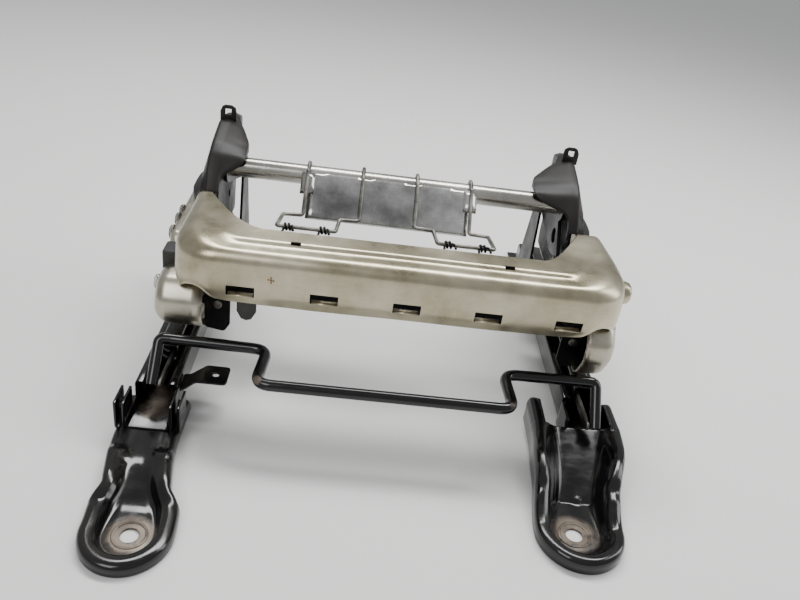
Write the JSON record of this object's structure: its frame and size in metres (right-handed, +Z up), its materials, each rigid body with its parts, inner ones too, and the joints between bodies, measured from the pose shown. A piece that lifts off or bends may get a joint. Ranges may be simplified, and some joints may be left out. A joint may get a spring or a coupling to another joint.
{
  "type": "seat slide rail",
  "caption": "Driver's seat base: two sliding floor rails with a lift bar and latches, under a height-adjusting link frame with a pressed front pan and wire springs.",
  "frame": {"origin": "bottom centre of the whole object's box, on the floor the feet stand on", "axes": "+Z up, +Y to the rear of the car along the rails, +X to the right seen from the front"},
  "size_m": [0.5141, 0.6604, 0.2585],
  "materials": {
    "black_paint": "glossy black paint, scratched and worn",
    "bare_steel": "bare cold-rolled steel, oiled",
    "dull_steel": "dull phosphated steel",
    "blue_black": "dark blue-black coating",
    "dark_plastic": "moulded, matt",
    "zinc": "zinc plated",
    "cage_plastic": "moulded, natural"
  },
  "bodies": {
    "carriage": {"left_front_lower_bolt": "zinc", "left_front_riser": "blue_black", "left_latch_pin": "zinc", "left_lever_pin": "zinc", "left_rear_lower_bolt": "zinc", "left_rear_riser": "blue_black", "left_upper_rail": "black_paint", "right_front_lower_bolt": "zinc", "right_front_riser": "blue_black", "right_latch_pin": "zinc", "right_lever_pin": "zinc", "right_rear_lower_bolt": "zinc", "right_rear_riser": "blue_black", "right_upper_rail": "black_paint"},
    "left_slide": {"left_connector_bracket": "black_paint", "left_front_foot": "black_paint", "left_lower_rail": "black_paint", "left_rear_foot": "black_paint"},
    "left_cages": {"left_inner_ball_cage": "cage_plastic", "left_outer_ball_cage": "cage_plastic"},
    "left_latch": {"left_latch_plate": "dull_steel"},
    "left_front_link": {"left_front_link": "blue_black"},
    "right_slide": {"right_front_foot": "black_paint", "right_lower_rail": "black_paint", "right_rear_foot": "black_paint"},
    "right_cages": {"right_inner_ball_cage": "cage_plastic", "right_outer_ball_cage": "cage_plastic"},
    "right_latch": {"right_latch_plate": "dull_steel"},
    "right_front_link": {"right_front_link": "blue_black"},
    "handle": {"left_release_lever": "dull_steel", "release_handle": "black_paint", "right_release_lever": "dull_steel"},
    "rear_links": {"left_rear_link": "blue_black", "rear_torque_tube": "bare_steel", "right_rear_link": "blue_black"},
    "cushion_frame": {"front_pan": "bare_steel", "left_front_upper_bolt": "zinc", "left_rear_cover": "dark_plastic", "left_recliner_plate": "blue_black", "left_side_member": "bare_steel", "left_suspension_wire": "dull_steel", "left_tube_bushing": "dark_plastic", "left_wire_clip_1": "dark_plastic", "left_wire_clip_2": "dark_plastic", "lifter_brake_drum": "dull_steel", "pan_harness_clip": "dark_plastic", "right_front_upper_bolt": "zinc", "right_rear_cover": "dark_plastic", "right_recliner_plate": "blue_black", "right_shield_boss": "dull_steel", "right_side_member": "bare_steel", "right_suspension_wire": "dull_steel", "right_tube_bushing": "dark_plastic", "right_wire_clip_1": "dark_plastic", "right_wire_clip_2": "dark_plastic", "support_plate": "bare_steel"},
    "pinion": {"lifter_pinion": "dull_steel"}
  },
  "joints": [
    {"name": "left_rail_slide", "type": "slide", "parent": "carriage", "child": "left_slide", "axis": [0, 1, 0], "range_m": [-0.125, 0.083]},
    {"name": "right_rail_slide", "type": "slide", "parent": "carriage", "child": "right_slide", "axis": [0, 1, 0], "range_m": [-0.17, 0.038]},
    {"name": "left_cage_roll", "type": "slide", "parent": "carriage", "child": "left_cages", "axis": [0, 1, 0], "range_m": [-0.0625, 0.0415]},
    {"name": "right_cage_roll", "type": "slide", "parent": "carriage", "child": "right_cages", "axis": [0, 1, 0], "range_m": [-0.085, 0.019]},
    {"name": "handle_lift", "type": "hinge", "parent": "carriage", "child": "handle", "pos_m": [-0.00225, -0.0248, 0.041], "axis": [-1, 0, 0], "range_deg": [0, 6], "stiffness_Nm_per_rad": 1.5, "springref_deg": -11.46},
    {"name": "height_lift", "type": "hinge", "parent": "carriage", "child": "rear_links", "pos_m": [-0.00225, 0.13502, 0.17566], "axis": [-1, 0, 0], "range_deg": [0, 38]},
    {"name": "cushion_level", "type": "hinge", "parent": "rear_links", "child": "cushion_frame", "pos_m": [-0.00225, 0.0562, 0.2075], "axis": [-1, 0, 0], "range_deg": [-38, 0]},
    {"name": "pinion_turn", "type": "hinge", "parent": "cushion_frame", "child": "pinion", "pos_m": [0.18575, 0.02696, 0.14478], "axis": [-1, 0, 0], "range_deg": [-253.83, 0]},
    {"name": "left_front_swing", "type": "hinge", "parent": "carriage", "child": "left_front_link", "pos_m": [-0.18575, 0.04202, 0.07416], "axis": [-1, 0, 0], "range_deg": [0, 38]},
    {"name": "left_latch_lift", "type": "hinge", "parent": "carriage", "child": "left_latch", "pos_m": [-0.22525, 0.04321, 0.041], "axis": [-1, 0, 0], "range_deg": [0, 2.12]},
    {"name": "right_front_swing", "type": "hinge", "parent": "carriage", "child": "right_front_link", "pos_m": [0.18125, 0.04202, 0.07416], "axis": [-1, 0, 0], "range_deg": [0, 38]},
    {"name": "right_latch_lift", "type": "hinge", "parent": "carriage", "child": "right_latch", "pos_m": [0.22075, 0.04321, 0.041], "axis": [-1, 0, 0], "range_deg": [0, 2.12]}
  ],
  "couplings": [
    {"joint": "left_cage_roll", "follows": "left_rail_slide", "ratio": 0.5},
    {"joint": "right_cage_roll", "follows": "right_rail_slide", "ratio": 0.5},
    {"joint": "cushion_level", "follows": "height_lift", "ratio": -1},
    {"joint": "pinion_turn", "follows": "height_lift", "ratio": -6.6667},
    {"joint": "left_front_swing", "follows": "height_lift", "ratio": 1},
    {"joint": "left_latch_lift", "follows": "handle_lift", "ratio": 0.352},
    {"joint": "right_front_swing", "follows": "height_lift", "ratio": 1},
    {"joint": "right_latch_lift", "follows": "handle_lift", "ratio": 0.352}
  ]
}
